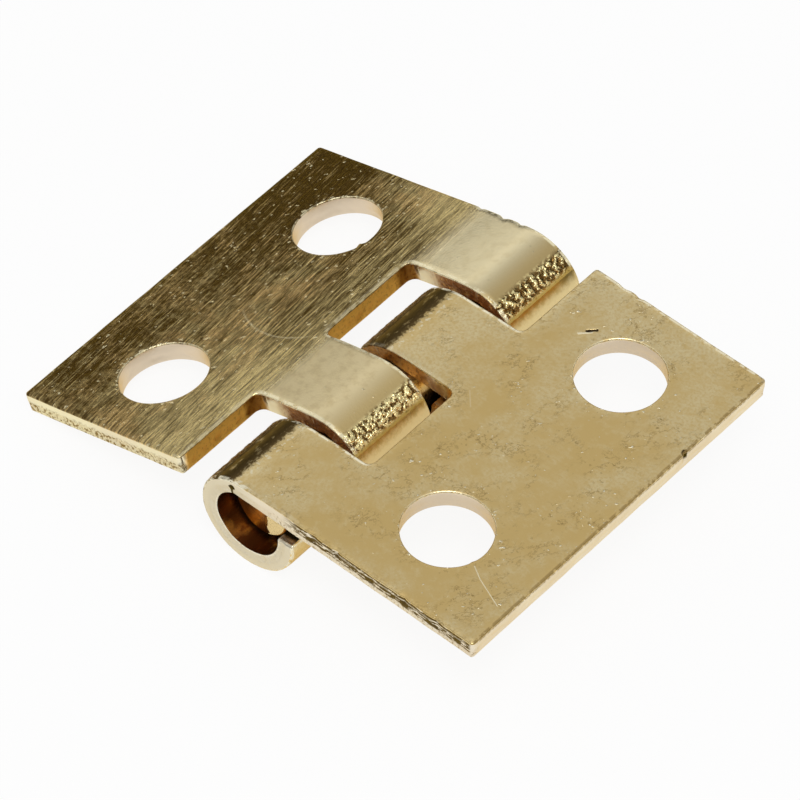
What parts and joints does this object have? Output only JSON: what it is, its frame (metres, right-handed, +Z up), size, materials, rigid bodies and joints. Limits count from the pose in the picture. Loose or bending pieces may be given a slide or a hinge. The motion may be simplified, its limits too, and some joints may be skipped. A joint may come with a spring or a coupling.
{
  "type": "box hinge",
  "caption": "Small stamped brass box hinge: flat leaves with plain screw holes and interlocking knuckles rolled round a hidden wire pin.",
  "frame": {"origin": "on the table, under the middle of the pin's axis", "axes": "+X across the leaves towards the level right leaf, +Y along the pin towards its far end, +Z up, out of the right leaf's smooth face"},
  "size_m": [0.0106, 0.008, 0.002],
  "materials": {
    "brass_sheet": "stamped, brushed and lightly stained",
    "brass_wire": "drawn"
  },
  "bodies": {
    "resting_leaf": {"left_leaf": "brass_sheet", "hinge_pin": "brass_wire"},
    "swinging_leaf": {"right_leaf": "brass_sheet"}
  },
  "joints": [
    {"name": "fold", "type": "hinge", "parent": "resting_leaf", "child": "swinging_leaf", "pos_m": [0, 0, 0.00102], "axis": [0, 1, 0], "range_deg": [-117, 174]}
  ]
}
